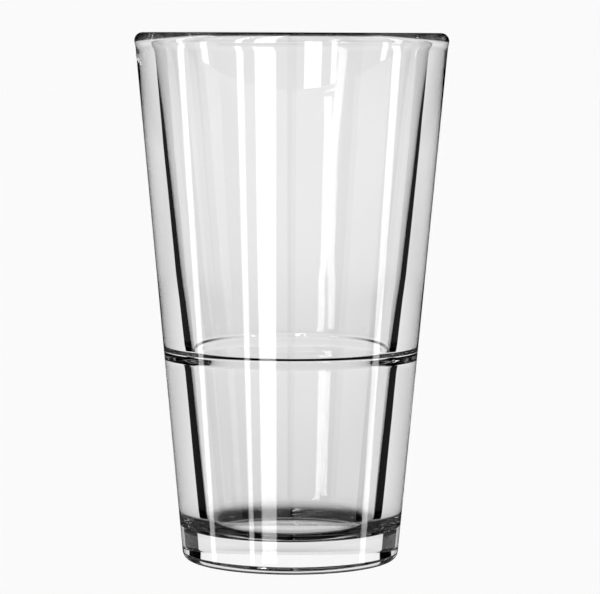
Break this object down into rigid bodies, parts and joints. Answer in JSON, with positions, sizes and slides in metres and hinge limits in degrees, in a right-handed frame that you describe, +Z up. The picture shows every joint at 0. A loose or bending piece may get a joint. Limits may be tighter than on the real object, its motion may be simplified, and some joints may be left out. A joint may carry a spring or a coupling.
{
  "type": "mixing glass",
  "caption": "Clear tapered bar mixing glass with a fire-polished rim, a small ring inside the thick wall above a narrower lower chamber, and a thick floor.",
  "frame": {"origin": "middle of the face that the glass stands on, on its axis", "axes": "+Z up along the glass's axis, from the foot to the rim. The glass is turned about Z, so X and Y are alike"},
  "size_m": [0.089, 0.089, 0.15],
  "materials": {
    "glass": "clear, fire-polished"
  },
  "bodies": {
    "root": {"glass": "glass"}
  },
  "joints": []
}
